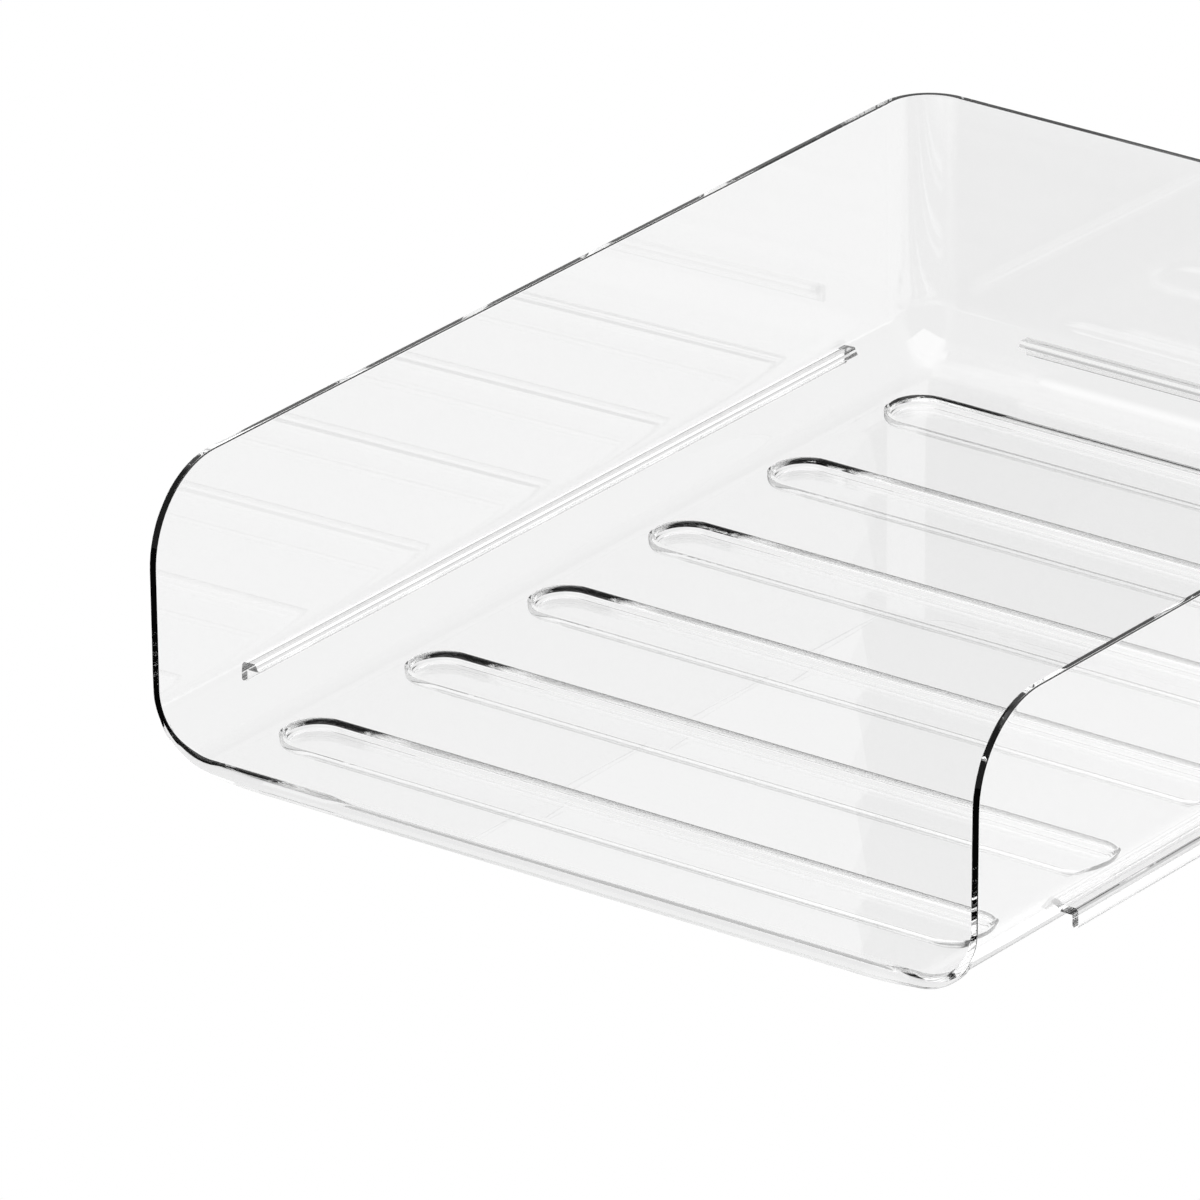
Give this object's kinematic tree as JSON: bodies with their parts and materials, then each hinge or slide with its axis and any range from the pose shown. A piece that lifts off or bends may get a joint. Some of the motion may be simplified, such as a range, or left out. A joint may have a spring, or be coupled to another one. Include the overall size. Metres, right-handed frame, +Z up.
{
  "type": "letter tray",
  "caption": "Clear open-fronted letter tray moulded in one piece, with channels across its floor, a front lip and hooked flanges outside its walls so that trays stack.",
  "frame": {"origin": "middle of the overall footprint, flanges included, at the level of the desk", "axes": "+Y from the open front towards the back wall, +X to the right as the user faces the open front, +Z up"},
  "size_m": [0.2584, 0.3302, 0.0772],
  "materials": {
    "clear_polystyrene": "clear colourless crystal polystyrene, polished, light passes straight through"
  },
  "bodies": {
    "root": {"tray_body": "clear_polystyrene"}
  },
  "joints": []
}
